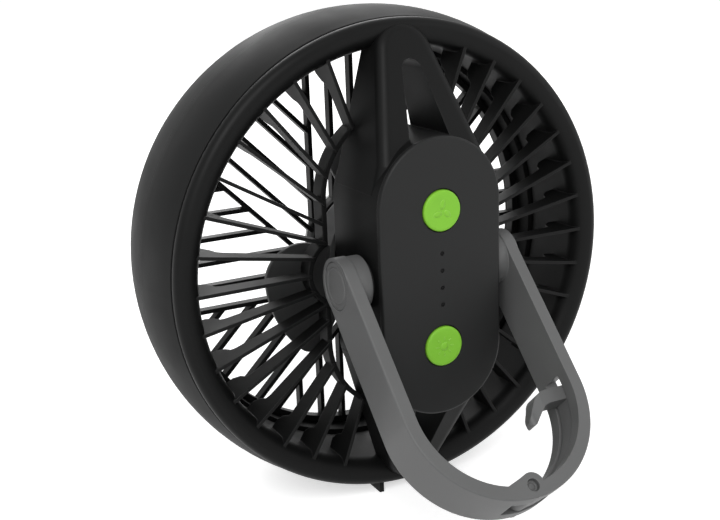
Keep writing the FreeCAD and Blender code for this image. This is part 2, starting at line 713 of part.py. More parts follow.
def hook():
    """The folding hook: an eye on the pin, an arm that follows the bail, and a turned-in end."""
    low_y = PIVOT_Y - HOOK_HALF
    width = Vector(0, 2.0 * HOOK_HALF, 0)
    eye = Part.makeCylinder(KNUCKLE_R, width.y, Vector(0, low_y, -HOOK_PIN_DROP), Vector(0, 1, 0))
    mid = math.radians(45.0)

    def on_arc(radius, angle):
        return Vector(-radius * math.sin(angle), low_y, -BAIL_LEG - radius * math.cos(angle))

    turn = math.radians(90.0)
    edges = [arc(on_arc(HOOK_OUT_R, 0.0), on_arc(HOOK_OUT_R, mid), on_arc(HOOK_OUT_R, turn))]
    edges += run(
        on_arc(HOOK_OUT_R, turn),
        Vector(-HOOK_OUT_R, low_y, -62.8),
        Vector(-26.4, low_y, -62.8),
    )
    edges.append(arc(edges[-1].Vertexes[-1].Point, Vector(-22.4, low_y, -64.0), Vector(-19.8, low_y, -66.8)))
    edges += run(Vector(-19.8, low_y, -66.8), Vector(-15.9, low_y, -72.6))
    edges.append(arc(Vector(-15.9, low_y, -72.6), Vector(-16.1, low_y, -74.7), Vector(-18.2, low_y, -74.6)))
    edges += run(Vector(-18.2, low_y, -74.6), Vector(-22.0, low_y, -70.6))
    edges.append(arc(Vector(-22.0, low_y, -70.6), Vector(-24.2, low_y, -69.0), Vector(-26.6, low_y, -68.4)))
    edges += run(Vector(-26.6, low_y, -68.4), Vector(-34.9, low_y, -68.4))
    bend = math.acos((68.4 - BAIL_LEG) / HOOK_IN_R)
    edges += run(Vector(-34.9, low_y, -68.4), on_arc(HOOK_IN_R, bend))
    edges.append(arc(on_arc(HOOK_IN_R, bend), on_arc(HOOK_IN_R, mid), on_arc(HOOK_IN_R, 0.0)))
    edges += run(on_arc(HOOK_IN_R, 0.0), on_arc(HOOK_OUT_R, 0.0))
    blade = Part.Face(Part.Wire(edges)).extrude(width)
    body = eye.fuse(blade).removeSplitter()
    body = body.cut(hook_pin_rod(HOOK_PIN_R + RUNNING_GAP))
    return tilt_back(body.cut(beside_hook_end()))


def hook_pin():
    return tilt_back(hook_pin_rod(HOOK_PIN_R))


def pivot_pins():
    """Two shoulder pins through the pod's walls, each with a flat head inside the bail's end."""
    pins = []
    for side in (-1, 1):
        low, high = sorted((side * 21.0, side * (BAIL_OUT - 4.3)))
        shank = rod_x(PIVOT_PIN_R, low, high, PIVOT_Y, 0.0)
        low, high = sorted((side * (BAIL_OUT - 4.3), side * (BAIL_OUT - 1.9)))
        pins.append(shank.fuse(rod_x(PIVOT_HEAD_R, low, high, PIVOT_Y, 0.0)).removeSplitter())
    return Part.makeCompound(pins)


def across(side, start, end, outer, inner):
    """A ring along X on the bail's axis, on one side of the pod."""
    low, high = sorted((side * start, side * end))
    return rod_x(outer, low, high, PIVOT_Y, 0.0).cut(rod_x(inner, low - 1.0, high + 1.0, PIVOT_Y, 0.0))


def pivot_washers():
    """Friction washers between the pod and the bosses of the bail."""
    return Part.makeCompound([across(side, POD_R, BOSS_IN_X - 0.06, 9.0, PIVOT_PIN_R) for side in (-1, 1)])


def pivot_nuts():
    """Round nuts that hold the pins inside the pod."""
    inside = POD_R - POD_WALL
    return Part.makeCompound([across(side, inside - 3.0, inside, 6.0, PIVOT_PIN_R) for side in (-1, 1)])


def pivot_caps():
    """Thin caps pressed into the outer faces of the bail's ends."""
    caps = []
    for side in (-1, 1):
        low, high = sorted((side * (BAIL_OUT - 1.3), side * (BAIL_OUT - 0.1)))
        caps.append(rod_x(CAP_R, low, high, PIVOT_Y, 0.0))
    return tilt_back(Part.makeCompound(caps))


def motor_mount():
    """The round plate that carries the motor in front of the pod's floor."""
    body = disc(MOUNT_R, MOTOR_BACK_Y, POD_FRONT_Y)
    body = body.cut(disc(SHAFT_R + 3.0, MOTOR_BACK_Y - 1.0, POD_FRONT_Y + 1.0))
    for x, z in screw_places(MOUNT_SCREW_RING, 4, 45.0):
        body = body.cut(disc(SCREW_R, MOTOR_BACK_Y - 1.0, POD_FRONT_Y + 1.0, x, z))
    return body


def screw(x, z, head_y, tip_y, head_height):
    """A round-headed screw along Y, its head on the side away from the tip."""
    back = head_y > tip_y
    low, high = sorted((head_y, tip_y))
    shank = disc(SCREW_R, low, high, x, z)
    if back:
        return shank.fuse(disc(SCREW_HEAD_R, head_y, head_y + head_height, x, z)).removeSplitter()
    return shank.fuse(disc(SCREW_HEAD_R, head_y - head_height, head_y, x, z)).removeSplitter()


def mount_screws():
    """Four screws from the front through the motor mount into the pod's floor."""
    screws = []
    for x, z in screw_places(MOUNT_SCREW_RING, 4, 45.0):
        screws.append(screw(x, z, MOTOR_BACK_Y, POD_FRONT_Y + POD_FLOOR - 0.1, 1.3))
    return Part.makeCompound(screws)


def motor_case():
    """The steel can of the motor with a bearing seat at each end."""
    body = disc(MOTOR_R, MOTOR_FRONT_Y, MOTOR_BACK_Y)
    body = body.cut(disc(MOTOR_R - 1.0, MOTOR_FRONT_Y + BEARING_LENGTH, MOTOR_BACK_Y - BEARING_LENGTH))
    return body.cut(disc(BEARING_R, MOTOR_FRONT_Y - 1.0, MOTOR_BACK_Y + 1.0))


def motor_bearings():
    """A plain bearing at each end of the can."""
    bore = SHAFT_R + 0.03
    front = tube(BEARING_R, bore, MOTOR_FRONT_Y, MOTOR_FRONT_Y + BEARING_LENGTH)
    rear = tube(BEARING_R, bore, MOTOR_BACK_Y - BEARING_LENGTH, MOTOR_BACK_Y)
    return Part.makeCompound([front, rear])


def motor_magnets():
    """Two curved magnets inside the can."""
    low = MOTOR_FRONT_Y + BEARING_LENGTH + 0.5
    high = MOTOR_BACK_Y - BEARING_LENGTH - 0.5
    shell = tube(MOTOR_R - 1.0, MOTOR_R - 3.2, low, high)
    magnets = []
    for side in (-1, 1):
        half = block(min(0.0, side * 20.0), max(0.0, side * 20.0), -40.0, 0.0, -8.0, 8.0)
        magnets.append(shell.common(half))
    return Part.makeCompound(magnets)


def motor_armature():
    """The wound core on the shaft, three broad poles."""
    low = MOTOR_FRONT_Y + BEARING_LENGTH + 0.6
    high = MOTOR_BACK_Y - BEARING_LENGTH - 0.6
    body = disc(MOTOR_R - 3.7, low, high)
    for index in range(3):
        point = polar(MOTOR_R - 5.4, index * 120.0, 0.0)
        body = body.cut(disc(2.6, low - 1.0, high + 1.0, point.x, point.z))
    return body.cut(disc(SHAFT_R, low - 1.0, high + 1.0))


def motor_shaft():
    return disc(SHAFT_R, HUB_FRONT_Y + 3.0, MOTOR_BACK_Y + 1.6)


def blade_surface():
    """The twisted sheet of one blade, as a grid of points from a pitch that eases towards the tip."""
    rows = []
    for step_r in range(5):
        radius = HUB_R - 2.0 + step_r * (TIP_R + 3.0 - HUB_R) / 4.0
        pitch = 15.0 - 1.2 * step_r
        row = []
        for step_t in range(7):
            share = step_t / 6.0
            degrees = BLADE_START - 6.0 + share * (BLADE_SPAN + 12.0)
            camber = 1.6 * math.sin(math.pi * share)
            row.append(polar(radius, degrees, -13.2 - pitch * share - camber))
        rows.append(row)
    surface = Part.BSplineSurface()
    surface.interpolate(rows)
    return surface.toShape()


def blade():
    """One broad blade: the twisted sheet cut to an outline with round corners."""
    sheet = blade_surface().extrude(Vector(0, BLADE_THICK, 0))
    start = BLADE_START
    end = BLADE_START + BLADE_SPAN
    middle = (start + end) / 2.0
    root_r = HUB_R - 2.0
    corners = run(polar(root_r, start, -60.0), polar(TIP_R, start, -60.0))
    corners.append(arc(polar(TIP_R, start, -60.0), polar(TIP_R, middle, -60.0), polar(TIP_R, end, -60.0)))
    corners += run(polar(TIP_R, end, -60.0), polar(root_r, end, -60.0))
    corners.append(arc(polar(root_r, end, -60.0), polar(root_r, middle, -60.0), polar(root_r, start, -60.0)))
    prism = Part.Face(Part.Wire(corners)).extrude(Vector(0, 60.0, 0))
    for edge_angle, radius in ((start, 15.0), (end, 9.0)):
        corner = polar(TIP_R, edge_angle, 0.0)
        uprights = [e for e in prism.Edges if abs(e.CenterOfMass.x - corner.x) < 0.5 and
                    abs(e.CenterOfMass.z - corner.z) < 0.5 and abs(e.Length - 60.0) < 0.1]
        prism = prism.makeFillet(radius, uprights)
    return sheet.common(prism)


def fan_blades():
    """The rotor: a cup-shaped hub over the motor with three broad blades."""
    cup = disc(HUB_R, HUB_FRONT_Y, HUB_BACK_Y)
    rim = [edge for edge in cup.Edges if edge.CenterOfMass.y < HUB_FRONT_Y + 0.1]
    cup = cup.makeFillet(3.0, rim)
    body = cup
    for index in range(BLADE_COUNT):
        one = blade()
        one.rotate(Vector(0, 0, 0), Vector(0, 1, 0), index * 360.0 / BLADE_COUNT)
        body = body.fuse(one)
    body = body.cut(disc(HUB_R - 2.4, HUB_FRONT_Y + 2.4, 0.0))
    body = body.fuse(disc(4.5, HUB_FRONT_Y + 1.0, MOTOR_FRONT_Y - 0.6))
    body = body.cut(disc(SHAFT_R, HUB_FRONT_Y + 3.0, 0.0))
    return body.removeSplitter()


def grille_group(angle):
    """Six parallel bars of the pinwheel: each starts at the next group's last bar and ends in the rim."""
    height = GRILLE_BACK_Y - GRILLE_FRONT_Y
    reach = 2.0 * BAR_PITCH * math.sqrt(2.0)
    bars = []
    for index in range(-3, 3):
        x = index * BAR_PITCH
        start = reach - x
        end = math.sqrt((GRILLE_IN_R + 1.0) ** 2 - x * x)
        corner = Vector(x - BAR_WIDTH / 2.0, GRILLE_FRONT_Y, start)
        bars.append(Part.makeBox(BAR_WIDTH, height, end - start, corner))
    group = bars[0].multiFuse(bars[1:])
    group.rotate(Vector(0, 0, 0), Vector(0, 1, 0), angle)
    return group


def front_grille():
    """The front grille: a rim, eight groups of straight bars and a ring that carries the lamp."""
    body = tube(GRILLE_R, GRILLE_IN_R, GRILLE_FRONT_Y, GRILLE_BACK_Y)
    groups = [grille_group(45.0 * index) for index in range(8)]
    body = body.multiFuse(groups)
    body = body.fuse(disc(LAMP_R + 0.6, GRILLE_FRONT_Y, GRILLE_BACK_Y))
    body = body.cut(disc(LAMP_R - 1.4, GRILLE_FRONT_Y - 1.0, GRILLE_BACK_Y + 1.0))
    return body.removeSplitter()


def lamp_housing():
    """The round cup behind the lamp, screwed to the grille's middle ring."""
    back = GRILLE_BACK_Y + 3.0
    body = disc(LAMP_R + 0.6, GRILLE_BACK_Y, back)
    body = body.fuse(disc(LAMP_R - 1.5, GRILLE_FRONT_Y + 1.0, back))
    body = body.cut(disc(LAMP_R - 3.0, GRILLE_FRONT_Y - 1.0, back - LAMP_WALL))
    return body.removeSplitter()


def lamp_board():
    """The light board: a round board with a ring of small square emitters."""
    board_y = GRILLE_BACK_Y + 1.0
    body = disc(LAMP_R - 3.4, board_y - 1.6, board_y)
    for x, z in screw_places(12.0, 8, 0.0):
        body = body.fuse(block(x - 1.75, x + 1.75, board_y - 2.4, board_y - 1.6, z - 1.75, z + 1.75))
    return body.removeSplitter()


def lamp_lens():
    """The milky front lens: a slightly domed cap with a rolled rim, hollow behind."""
    radius = LAMP_R + 0.6
    edge_front = GRILLE_FRONT_Y - 2.2
    crown = 1.2
    sphere_r = (radius * radius + crown * crown) / (2.0 * crown)
    centre = Vector(0, edge_front - crown + sphere_r, 0)
    body = disc(radius, edge_front - crown - 1.0, GRILLE_FRONT_Y)
    body = body.common(Part.makeSphere(sphere_r, centre))
    rim = [edge for edge in body.Edges if abs(edge.CenterOfMass.y - edge_front) < 0.2]
    body = body.makeFillet(0.7, rim)
    return body.cut(disc(radius - 2.6, edge_front + 0.8, GRILLE_FRONT_Y + 1.0))


PIECES = {
    "outer_shell": outer_shell,
    "front_bezel": front_bezel,
    "front_grille": front_grille,
    "lamp_housing": lamp_housing,
    "lamp_board": lamp_board,
    "lamp_lens": lamp_lens,
    "rear_guard": rear_guard,
    "pod_housing": pod_housing,
    "pod_cover": pod_cover,
    "fan_button": lambda: push_button(BUTTON_Z),
    "light_button": lambda: push_button(-BUTTON_Z),
    "indicator_lights": indicator_lights,
    "control_board": control_board,
    "button_switches": button_switches,
    "charging_socket": charging_socket,
    "battery_cells": battery_cells,
    "battery_tray": battery_tray,
    "bail": bail,
    "hook": hook,
    "hook_pin": hook_pin,
    "pivot_pins": pivot_pins,
    "pivot_washers": pivot_washers,
    "pivot_nuts": pivot_nuts,
    "pivot_caps": pivot_caps,
    "motor_mount": motor_mount,
    "mount_screws": mount_screws,
    "motor_case": motor_case,
    "motor_bearings": motor_bearings,
    "motor_magnets": motor_magnets,
    "motor_armature": motor_armature,
    "motor_shaft": motor_shaft,
    "fan_blades": fan_blades,
}


def main():
    os.makedirs("parts", exist_ok=True)
    to_row = Vector(0, SEAM_Y, AXIS_HEIGHT)
    for name, build in PIECES.items():
        shape = build()
        shape.translate(to_row)
        shape.exportStep("parts/" + name + ".step")
        box = shape.BoundBox
        print(name, len(shape.Solids), shape.isValid(), round(shape.Volume), [round(v, 1) for v in
              (box.XMin, box.XMax, box.YMin, box.YMax, box.ZMin, box.ZMax)])


if __name__ == "__main__":
    main()
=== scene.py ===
# %% [markdown]
# # A portable camping fan, seen from behind
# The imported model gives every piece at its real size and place. Here each piece gets its finish, and the
# pieces whose look needs softer forms are modelled again over it. Lengths are metres, +Z is up, the fan's
# axis runs along Y, and the rear with its buttons faces +Y.

# %% Load the fixed frame
import json
import math

import bmesh
import bpy
from mathutils import Matrix, Vector


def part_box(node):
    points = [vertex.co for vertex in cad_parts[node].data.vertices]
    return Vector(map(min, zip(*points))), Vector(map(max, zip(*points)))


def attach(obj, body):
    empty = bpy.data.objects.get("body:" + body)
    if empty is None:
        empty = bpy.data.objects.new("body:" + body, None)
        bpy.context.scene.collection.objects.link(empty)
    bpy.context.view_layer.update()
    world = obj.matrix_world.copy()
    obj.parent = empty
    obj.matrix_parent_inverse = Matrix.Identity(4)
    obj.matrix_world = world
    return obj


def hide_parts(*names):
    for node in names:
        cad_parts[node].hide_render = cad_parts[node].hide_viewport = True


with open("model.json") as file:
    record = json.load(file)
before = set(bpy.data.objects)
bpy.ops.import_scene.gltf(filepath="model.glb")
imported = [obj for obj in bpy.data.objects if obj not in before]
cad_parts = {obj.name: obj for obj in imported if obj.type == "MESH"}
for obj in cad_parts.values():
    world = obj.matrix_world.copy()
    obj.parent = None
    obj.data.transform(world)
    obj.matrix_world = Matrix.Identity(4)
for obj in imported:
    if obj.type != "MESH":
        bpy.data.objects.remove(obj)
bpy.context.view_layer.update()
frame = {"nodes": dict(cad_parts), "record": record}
nodes = frame["nodes"]
print("pieces in the frame:", len(nodes))

# %% [markdown]
# Two places are used again and again: the height of the fan's axis and the outer face of the pod's cover.
# They are read from the frame, so nothing has to be fitted by eye.

# %% Places that the pieces share
MM = 0.001
cover_low, cover_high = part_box("pod_cover")
axis_z = (cover_low.z + cover_high.z) / 2.0
plate_y = cover_high.y
print("fan axis at z =", round(axis_z, 4), "and back plate at y =", round(plate_y, 4))

# %% [markdown]
# The two shades of black plastic, the grey of the bail and the green of the buttons all come from the same
# kind of mould, so they share two effects. The first is the fine sparked grain of a moulded surface: a
# small noise for the bumps, and a broad one that makes some patches a little shinier than others. The
# second finds edges by comparing the true normal with a rounded one, for the thin painted highlight along
# them. Both live in one node group, whose sockets are named, so each finish can give it its own values.

# %% A named socket on a group
def add_socket(tree, name, in_out, kind, value=None):
    socket = tree.interface.new_socket(name=name, in_out=in_out, socket_type=kind)
    if value is not None:
        socket.default_value = value
    return socket


print("sockets are added with", add_socket.__name__)

# %% [markdown]
# The group itself: two noises on object coordinates, the softened edge, and a bump that goes over both.

# %% Shared effect: moulded grain
def moulded_grain():
    tree = bpy.data.node_groups.new("moulded_grain", "ShaderNodeTree")
    add_socket(tree, "Grain Scale", "INPUT", "NodeSocketFloat", 2600.0)
    add_socket(tree, "Depth", "INPUT", "NodeSocketFloat", 0.12)
    add_socket(tree, "Base Roughness", "INPUT", "NodeSocketFloat", 0.5)
    add_socket(tree, "Edge Radius", "INPUT", "NodeSocketFloat", 0.0006)
    add_socket(tree, "Roughness", "OUTPUT", "NodeSocketFloat")
    add_socket(tree, "Shade", "OUTPUT", "NodeSocketFloat")
    add_socket(tree, "Edge", "OUTPUT", "NodeSocketFloat")
    add_socket(tree, "Normal", "OUTPUT", "NodeSocketVector")
    new, link = tree.nodes.new, tree.links.new
    given = new("NodeGroupInput")
    out = new("NodeGroupOutput")
    place = new("ShaderNodeTexCoord")
    fine = new("ShaderNodeTexNoise")
    fine.inputs["Detail"].default_value = 2.0
    link(place.outputs["Object"], fine.inputs["Vector"])
    link(given.outputs["Grain Scale"], fine.inputs["Scale"])
    broad = new("ShaderNodeTexNoise")
    broad.inputs["Scale"].default_value = 38.0
    broad.inputs["Detail"].default_value = 4.0
    link(place.outputs["Object"], broad.inputs["Vector"])
    spread = new("ShaderNodeMapRange")
    spread.inputs["From Min"].default_value = 0.3
    spread.inputs["From Max"].default_value = 0.7
    spread.inputs["To Min"].default_value = -0.06
    spread.inputs["To Max"].default_value = 0.06
    link(broad.outputs["Fac"], spread.inputs["Value"])
    rough = new("ShaderNodeMath")
    rough.operation = "ADD"
    link(given.outputs["Base Roughness"], rough.inputs[0])
    link(spread.outputs["Result"], rough.inputs[1])
    link(rough.outputs[0], out.inputs["Roughness"])
    shade = new("ShaderNodeMapRange")
    shade.inputs["From Min"].default_value = 0.25
    shade.inputs["From Max"].default_value = 0.75
    link(broad.outputs["Fac"], shade.inputs["Value"])
    link(shade.outputs["Result"], out.inputs["Shade"])
    soft = new("ShaderNodeBevel")
    soft.samples = 6
    link(given.outputs["Edge Radius"], soft.inputs["Radius"])
    flat = new("ShaderNodeNewGeometry")
    compare = new("ShaderNodeVectorMath")
    compare.operation = "DOT_PRODUCT"
    link(soft.outputs["Normal"], compare.inputs[0])
    link(flat.outputs["Normal"], compare.inputs[1])
    # This edge mask drives a painted highlight: a paler tone along every edge.
    edge_highlight = new("ShaderNodeMapRange")
    edge_highlight.inputs["From Min"].default_value = 0.99
    edge_highlight.inputs["From Max"].default_value = 0.82
    link(compare.outputs["Value"], edge_highlight.inputs["Value"])
    link(edge_highlight.outputs["Result"], out.inputs["Edge"])
    bump = new("ShaderNodeBump")
    bump.inputs["Distance"].default_value = 0.00004
    link(given.outputs["Depth"], bump.inputs["Strength"])
    link(fine.outputs["Fac"], bump.inputs["Height"])
    link(soft.outputs["Normal"], bump.inputs["Normal"])
    link(bump.outputs["Normal"], out.inputs["Normal"])
    return tree


grain = moulded_grain()
print("grain group has", len(grain.nodes), "nodes")

# %% [markdown]
# A plastic is then one principled shader: its colour leans a little darker and lighter with the broad
# noise, and towards a paler tone along the edges, which is a painted highlight. Each finish only changes a
# handful of numbers: its dark and light tones, its painted edge highlight tone, its roughness and its gloss.
# The blacks are kept low in gloss, because a white studio turns a glossy black to grey.

# %% A moulded plastic
def moulded_plastic(name, dark, light, edge_highlight, roughness, gloss=0.28, scale=2600.0, depth=0.12, radius=0.0006):
    material = bpy.data.materials.new(name)
    material.use_nodes = True
    tree = material.node_tree
    shader = tree.nodes["Principled BSDF"]
    effect = tree.nodes.new("ShaderNodeGroup")
    effect.node_tree = grain
    effect.inputs["Grain Scale"].default_value = scale
    effect.inputs["Depth"].default_value = depth
    effect.inputs["Base Roughness"].default_value = roughness
    effect.inputs["Edge Radius"].default_value = radius
    tone = tree.nodes.new("ShaderNodeMix")
    tone.data_type = "RGBA"
    tone.inputs["A"].default_value = (*dark, 1.0)
    tone.inputs["B"].default_value = (*light, 1.0)
    tree.links.new(effect.outputs["Shade"], tone.inputs["Factor"])
    # Painted highlight: along the edges the colour goes towards the paler edge tone.
    edge_highlight_mix = tree.nodes.new("ShaderNodeMix")
    edge_highlight_mix.data_type = "RGBA"
    edge_highlight_mix.inputs["B"].default_value = (*edge_highlight, 1.0)
    tree.links.new(effect.outputs["Edge"], edge_highlight_mix.inputs["Factor"])
    tree.links.new(tone.outputs["Result"], edge_highlight_mix.inputs["A"])
    tree.links.new(edge_highlight_mix.outputs["Result"], shader.inputs["Base Color"])
    tree.links.new(effect.outputs["Roughness"], shader.inputs["Roughness"])
    tree.links.new(effect.outputs["Normal"], shader.inputs["Normal"])
    shader.inputs["Specular IOR Level"].default_value = gloss
    return material


print("a plastic takes three tones, a roughness and a gloss")

# %% [markdown]
# The plastics by name. The drum, the guard and the pod's cover are three blacks that differ by little: the
# cover is the palest, as on the real fan, and the insides are the darkest.

# %% The plastics
# The third tone of each plastic is its painted edge highlight.
finishes = {
    "shell_black": moulded_plastic(
        "shell_black", (0.0078, 0.0080, 0.0080), (0.0102, 0.0104, 0.0104), (0.020, 0.020, 0.020), 0.58, 0.10),
    "guard_black": moulded_plastic(
        "guard_black", (0.0038, 0.0039, 0.0039), (0.0054, 0.0055, 0.0055), (0.016, 0.016, 0.016), 0.46, 0.12),
    "cover_black": moulded_plastic(
        "cover_black", (0.0090, 0.0093, 0.0093), (0.0112, 0.0115, 0.0115), (0.018, 0.018, 0.018), 0.50, 0.22),
    "inner_black": moulded_plastic(
        "inner_black", (0.0024, 0.0024, 0.0024), (0.0036, 0.0036, 0.0036), (0.008, 0.008, 0.008), 0.60, 0.10),
    "handle_grey": moulded_plastic(
        "handle_grey", (0.108, 0.109, 0.109), (0.122, 0.123, 0.123), (0.165, 0.165, 0.165), 0.46),
    "pin_grey": moulded_plastic(
        "pin_grey", (0.096, 0.097, 0.097), (0.108, 0.109, 0.109), (0.150, 0.150, 0.150), 0.42),
    "rotor_grey": moulded_plastic(
        "rotor_grey", (0.060, 0.061, 0.061), (0.072, 0.073, 0.073), (0.110, 0.110, 0.110), 0.42),
    "button_green": moulded_plastic(
        "button_green", (0.192, 0.490, 0.032), (0.220, 0.536, 0.038), (0.360, 0.700, 0.120), 0.42, 0.26),
    "switch_black": moulded_plastic(
        "switch_black", (0.015, 0.015, 0.015), (0.020, 0.020, 0.020), (0.030, 0.030, 0.030), 0.5),
    "washer_rubber": moulded_plastic(
        "washer_rubber", (0.016, 0.016, 0.016), (0.022, 0.022, 0.022), (0.028, 0.028, 0.028), 0.75),
    "cell_wrap": moulded_plastic(
        "cell_wrap", (0.040, 0.180, 0.300), (0.050, 0.210, 0.340), (0.100, 0.300, 0.420), 0.3),
    "board_green": moulded_plastic(
        "board_green", (0.012, 0.070, 0.026), (0.020, 0.095, 0.036), (0.300, 0.260, 0.150), 0.35),
    "lens_milky": moulded_plastic(
        "lens_milky", (0.720, 0.725, 0.705), (0.780, 0.785, 0.765), (0.850, 0.850, 0.840), 0.35),
}
print("plastics:", ", ".join(sorted(finishes)))

# %% [markdown]
# The metal pieces inside are seen only when the fan is taken apart, but they get an honest finish too.
# Drawn and turned metal is brushed round its axis: a noise stretched along one direction breaks up the
# roughness, and the colour is the metal's own.

# %% Metals and the light pipes
def turned_metal(name, colour, roughness, across=(400.0, 9000.0, 400.0)):
    material = bpy.data.materials.new(name)
    material.use_nodes = True
    tree = material.node_tree
    shader = tree.nodes["Principled BSDF"]
    place = tree.nodes.new("ShaderNodeTexCoord")
    stretch = tree.nodes.new("ShaderNodeMapping")
    stretch.inputs["Scale"].default_value = across
    tree.links.new(place.outputs["Object"], stretch.inputs["Vector"])
    streak = tree.nodes.new("ShaderNodeTexNoise")
    streak.inputs["Scale"].default_value = 1.0
    streak.inputs["Detail"].default_value = 3.0
    tree.links.new(stretch.outputs["Vector"], streak.inputs["Vector"])
    rough = tree.nodes.new("ShaderNodeMapRange")
    rough.inputs["To Min"].default_value = roughness - 0.08
    rough.inputs["To Max"].default_value = roughness + 0.12
    tree.links.new(streak.outputs["Fac"], rough.inputs["Value"])
    tree.links.new(rough.outputs["Result"], shader.inputs["Roughness"])
    tone = tree.nodes.new("ShaderNodeMix")
    tone.data_type = "RGBA"
    tone.inputs["A"].default_value = (*[0.85 * part for part in colour], 1.0)
    tone.inputs["B"].default_value = (*colour, 1.0)
    tree.links.new(streak.outputs["Fac"], tone.inputs["Factor"])
    tree.links.new(tone.outputs["Result"], shader.inputs["Base Color"])
    shader.inputs["Metallic"].default_value = 1.0
    return material


finishes["bright_steel"] = turned_metal("bright_steel", (0.62, 0.62, 0.61), 0.28)
finishes["bronze"] = turned_metal("bronze", (0.55, 0.36, 0.17), 0.4)
finishes["armature_copper"] = turned_metal("armature_copper", (0.66, 0.31, 0.16), 0.35)
finishes["magnet_dark"] = turned_metal("magnet_dark", (0.12, 0.12, 0.13), 0.5)
finishes["light_pipe"] = moulded_plastic(
    "light_pipe", (0.0016, 0.0016, 0.0016), (0.0022, 0.0022, 0.0022), (0.006, 0.006, 0.006),
    0.3, 0.1, depth=0.02)
print("finishes in all:", len(finishes))

# %% [markdown]
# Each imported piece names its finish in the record, so one loop paints them all. The pieces themselves are
# not touched: only what is in their material slots changes.

# %% Paint every carried-over piece
slot_of = {row["node"]: row["material_slot"] for row in frame["record"]["subparts"]}
for name, node in nodes.items():
    finish = finishes[slot_of[name]]
    for place in node.material_slots:
        place.material = finish
print("painted:", len(slot_of))

# %% [markdown]
# ## Modelling by hand
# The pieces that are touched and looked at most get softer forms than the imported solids. Each one starts as
# a primitive at its real size and place and is shaped in edit mode. Edit-mode tools act on what is selected,
# so two helpers come first: one adds a round blank whose axis runs along Y or X, with its place already in
# its mesh, and one selects faces by a test on their middle and their normal.

# %% A round blank, and a way to pick faces
def round_blank(name, radius, low, high, centre, axis="Y", sides=96):
    """A closed disc or rod from low to high along its axis; centre gives its other two places."""
    bpy.ops.object.select_all(action="DESELECT")
    middle = (low + high) / 2.0
    if axis == "Y":
        place = (centre[0], middle, centre[1])
        turn = (-math.pi / 2.0, 0.0, 0.0)
    else:
        place = (middle, centre[0], centre[1])
        turn = (0.0, math.pi / 2.0, 0.0)
    bpy.ops.mesh.primitive_cylinder_add(
        vertices=sides, radius=radius, depth=high - low, location=place, rotation=turn)
    piece = bpy.context.object
    piece.name = name
    bpy.ops.object.transform_apply(location=True, rotation=True, scale=True)
    return piece


def pick_faces(piece, test):
    """Select only the faces whose middle and normal pass the test, with the piece in edit mode."""
    mesh = bmesh.from_edit_mesh(piece.data)
    for face in mesh.faces:
        face.select_set(False)
    chosen = [face for face in mesh.faces if test(face.calc_center_median(), face.normal)]
    for face in chosen:
        face.select_set(True)
    bmesh.update_edit_mesh(piece.data)
    return len(chosen)


print("helpers ready:", round_blank.__name__, "and", pick_faces.__name__)

# %% [markdown]
# Three more steps come back with every piece: going into edit mode with nothing else selected, coming out
# of it with clean outward normals, and giving the piece its finish and the body that it moves with.

# %% Into edit mode, out of it, and dressing
def edit(piece):
    bpy.ops.object.select_all(action="DESELECT")
    bpy.context.view_layer.objects.active = piece
    piece.select_set(True)
    bpy.ops.object.mode_set(mode="EDIT")
    bpy.context.tool_settings.mesh_select_mode = (False, False, True)


def done(piece, angle=35.0):
    """Leave edit mode, point every face outwards and shade smoothly across the soft edges."""
    bpy.ops.mesh.select_all(action="SELECT")
    bpy.ops.mesh.normals_make_consistent(inside=False)
    bpy.ops.object.mode_set(mode="OBJECT")
    bpy.ops.object.shade_smooth_by_angle(angle=math.radians(angle))
    return piece


def dress(piece, body, replaced, slot_node):
    piece.data.materials.clear()
    piece.data.materials.append(finishes[slot_of[slot_node]])
    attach(piece, body)
    if replaced:
        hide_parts(replaced)


print("pieces are finished with", done.__name__, "and", dress.__name__)

# %% [markdown]
# Each button is a soft-touch disc 17 mm across that stands just under a millimetre proud of the cover. Its
# edge is rounded and its middle is dished a little for the fingertip. The disc is one blank: its outer face
# is inset for the rim, then inset again and again, each ring a little lower, which makes a smooth hollow.
# A flange under the cover keeps the button in, and a stem reaches down to its switch.

# %% A dished push button
BUTTON_R = 8.3 * MM
BUTTON_RISE = 0.9 * MM
COVER_THICK = 2.0 * MM
UNDER_COVER = 0.25 * MM
RIM_ROUND = 0.75 * MM
RIM_FLAT = 0.55 * MM
DISH_STEP = 0.95 * MM
DISH_FALLS = (0.02, 0.05, 0.06, 0.05, 0.04, 0.02)
FLANGE_THICK = 0.85 * MM
FLANGE_NECK = 0.15 * MM
STEM_R = 2.0 * MM
SEAM_INSET = 0.02 * MM


def push_out(depth):
    """Pull the selected face straight out towards the inside of the pod."""
    bpy.ops.mesh.extrude_region_move(TRANSFORM_OT_translate={"value": (0, -depth, 0)})


